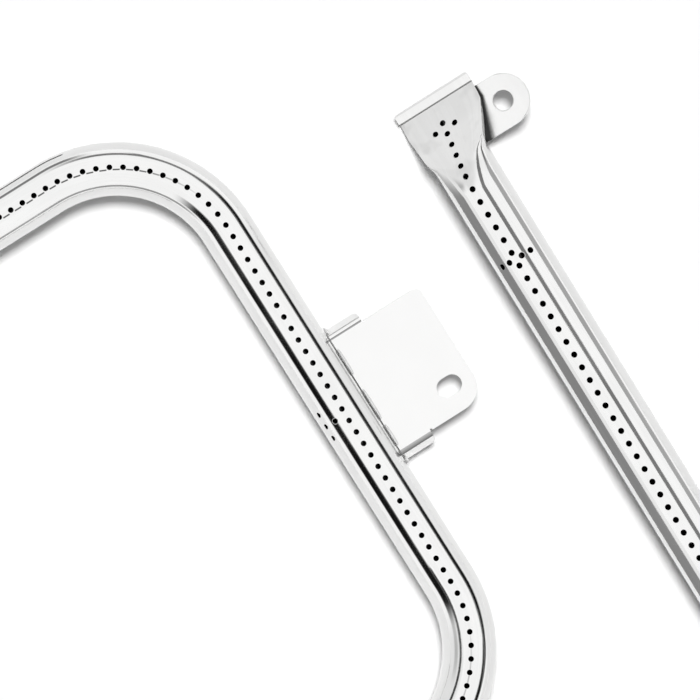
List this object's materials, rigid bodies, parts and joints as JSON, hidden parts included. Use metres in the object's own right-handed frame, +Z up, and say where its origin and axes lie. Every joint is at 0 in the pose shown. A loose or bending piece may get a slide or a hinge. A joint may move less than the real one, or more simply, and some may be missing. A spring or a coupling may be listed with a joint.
{
  "type": "tubular gas burner set",
  "caption": "Bent tubular gas burner with slotted mounting bracket beside a straight burner tube with pressed end and ear; rows of ports, necked inlets with turning air shutters.",
  "frame": {"origin": "on the underside of the main burner's mounting bracket, midway along the plate, where it seats on the fire box", "axes": "+Z up through the burner ports, Y along the bracket side of the main burner, +X out of the bracket away from the burner"},
  "size_m": [0.5587, 0.5425, 0.0241],
  "materials": {
    "tube_steel": "bright drawn stainless tube",
    "sheet_steel": "bright stainless sheet",
    "weld_metal": "cleaned weld bead",
    "shutter_steel": "bright stainless collar",
    "plated_steel": "zinc-plated fastener",
    "screen_steel": "stainless screen",
    "bush_brass": "turned brass"
  },
  "bodies": {
    "main_burner": {"main_burner_tube": "tube_steel", "main_mount_bracket": "sheet_steel", "bracket_seam_weld_1": "weld_metal", "bracket_seam_weld_2": "weld_metal", "bracket_seam_weld_3": "weld_metal", "bracket_lower_weld": "weld_metal", "bracket_upper_weld": "weld_metal", "main_mount_ear": "sheet_steel", "main_shutter_screw": "plated_steel", "main_shutter_nut": "plated_steel", "main_insect_screen": "screen_steel", "main_inlet_bush": "bush_brass"},
    "main_shutter": {"main_air_shutter": "shutter_steel"},
    "inner_burner": {"inner_burner_tube": "tube_steel", "inner_mount_ear": "sheet_steel", "inner_shutter_screw": "plated_steel", "inner_shutter_nut": "plated_steel", "inner_insect_screen": "screen_steel", "inner_inlet_bush": "bush_brass"},
    "inner_shutter": {"inner_air_shutter": "shutter_steel"}
  },
  "joints": [
    {"name": "main_shutter_turn", "type": "hinge", "parent": "main_burner", "child": "main_shutter", "pos_m": [-0.46, -0.1228, 0.0015], "axis": [-1, 0, 0], "range_deg": [0, 60]},
    {"name": "inner_burner_lift", "type": "slide", "parent": "main_burner", "child": "inner_burner", "axis": [0, 0, 1], "range_m": [0, 0.06]},
    {"name": "inner_shutter_turn", "type": "hinge", "parent": "inner_burner", "child": "inner_shutter", "pos_m": [0.05568, -0.37867, 0.00208], "axis": [-0.0105, -0.9999, -0.0057], "range_deg": [0, 60]}
  ]
}
